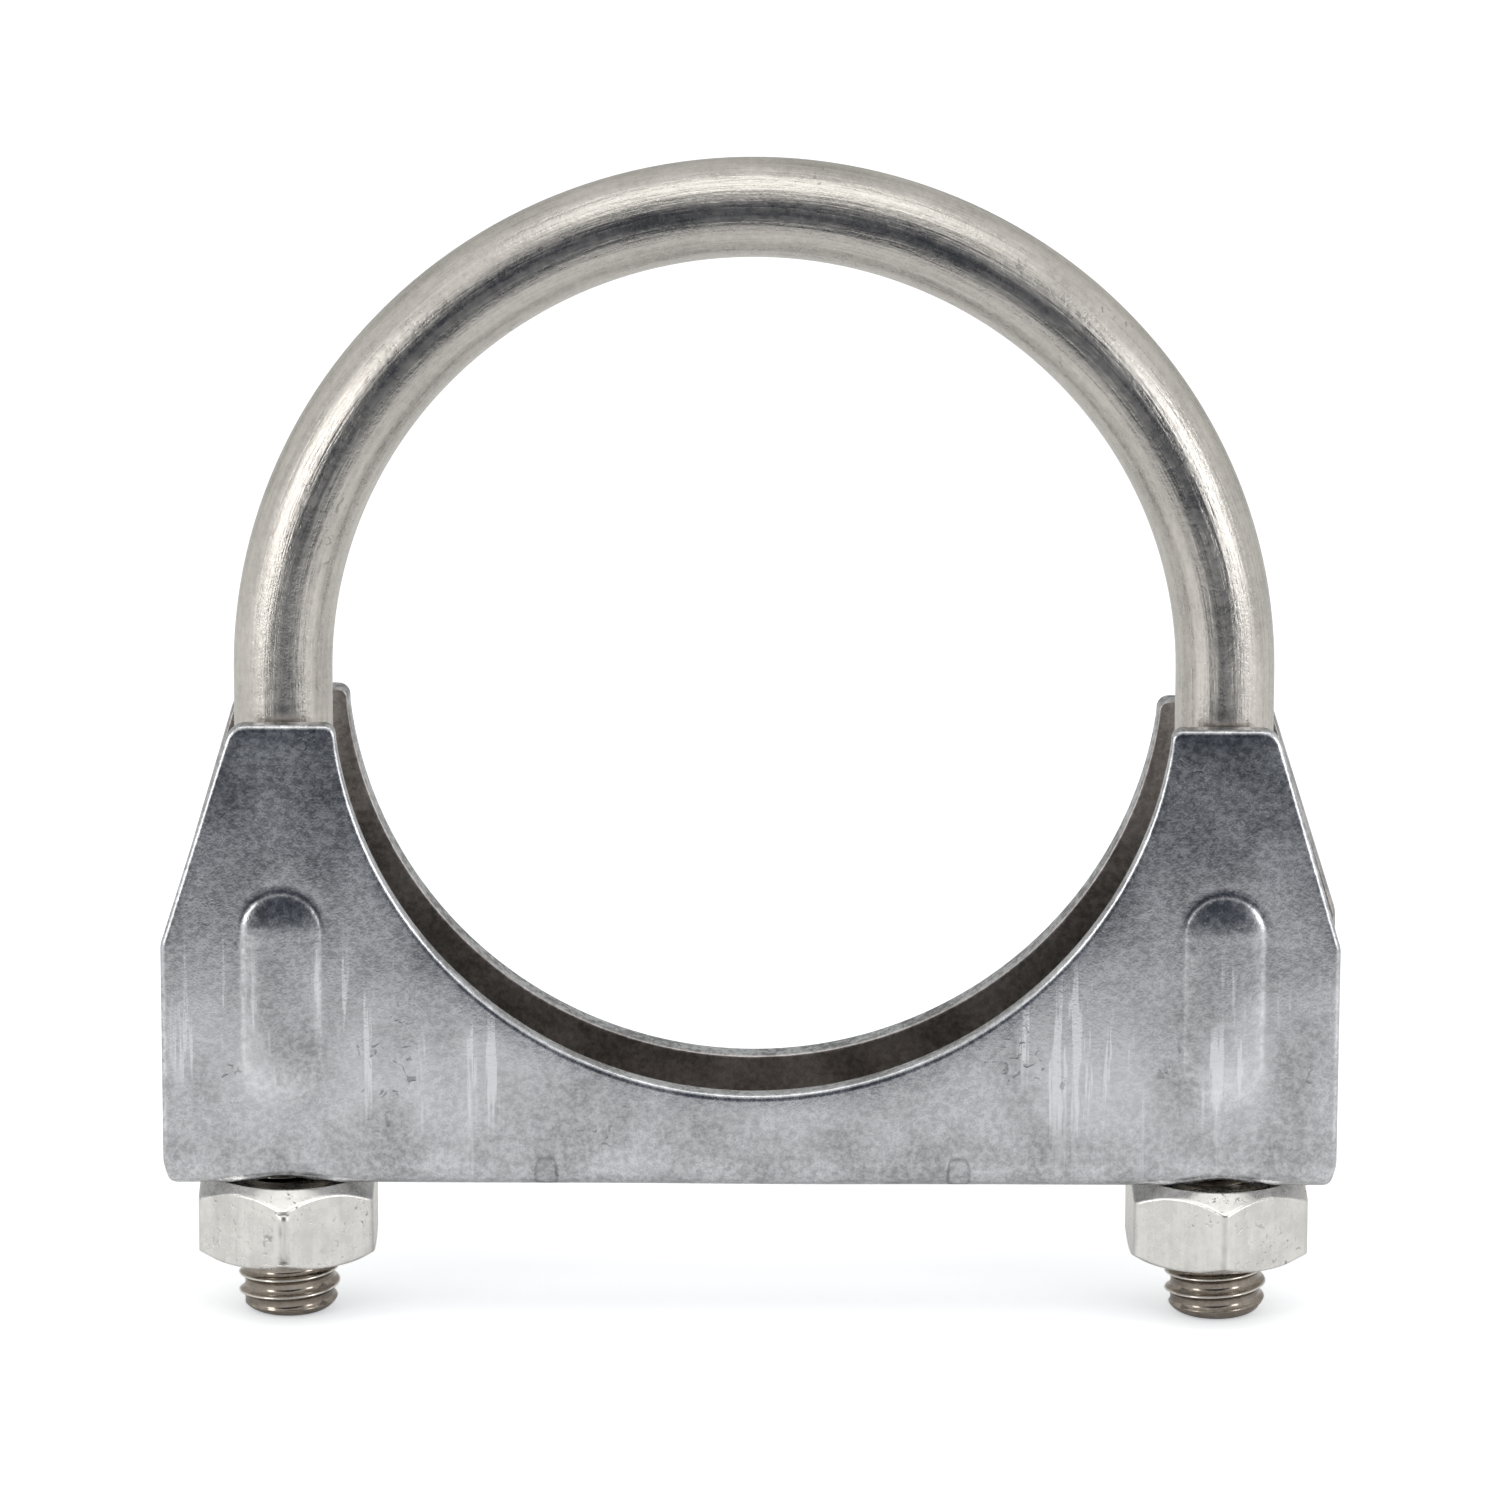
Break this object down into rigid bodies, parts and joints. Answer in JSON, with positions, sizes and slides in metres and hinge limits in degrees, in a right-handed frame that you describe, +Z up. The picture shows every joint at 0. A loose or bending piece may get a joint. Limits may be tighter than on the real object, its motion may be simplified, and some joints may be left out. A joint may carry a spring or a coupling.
{
  "type": "u-bolt pipe clamp",
  "caption": "Exhaust pipe clamp: a round bent rod with threaded legs, a folded sheet saddle with a curved seat, and hex nuts that draw the saddle up round the pipe.",
  "frame": {"origin": "on the plane that the two leg ends stand on, midway between the legs", "axes": "+X from the left leg to the right leg, +Y along the pipe away from the front plate, +Z up from the leg ends to the top of the bow"},
  "size_m": [0.1136, 0.0196, 0.114],
  "materials": {
    "rod_steel": "satin drawn stainless rod with fine lengthwise lines",
    "sheet_steel": "mill finish stainless sheet, mottled, with press marks and scuffs",
    "nut_steel": "bright pressed stainless with small dents"
  },
  "bodies": {
    "u_bolt": {"u_bolt": "rod_steel"},
    "saddle": {"saddle": "sheet_steel"},
    "nut_left": {"nut_left": "nut_steel"},
    "nut_right": {"nut_right": "nut_steel"}
  },
  "joints": [
    {"name": "saddle_slide", "type": "slide", "parent": "u_bolt", "child": "saddle", "axis": [0, 0, 1], "range_m": [-0.00525, 0.0175]},
    {"name": "nut_left_spin", "type": "hinge", "parent": "saddle", "child": "nut_left", "pos_m": [-0.04525, 0, 0.01015], "axis": [0, 0, 1], "range_deg": [-1080, 3600]},
    {"name": "nut_right_spin", "type": "hinge", "parent": "saddle", "child": "nut_right", "pos_m": [0.04525, 0, 0.01015], "axis": [0, 0, 1], "range_deg": [-1080, 3600]}
  ],
  "couplings": [
    {"joint": "nut_left_spin", "follows": "saddle_slide", "rad_per_m": 3590.4},
    {"joint": "nut_right_spin", "follows": "saddle_slide", "rad_per_m": 3590.4}
  ]
}
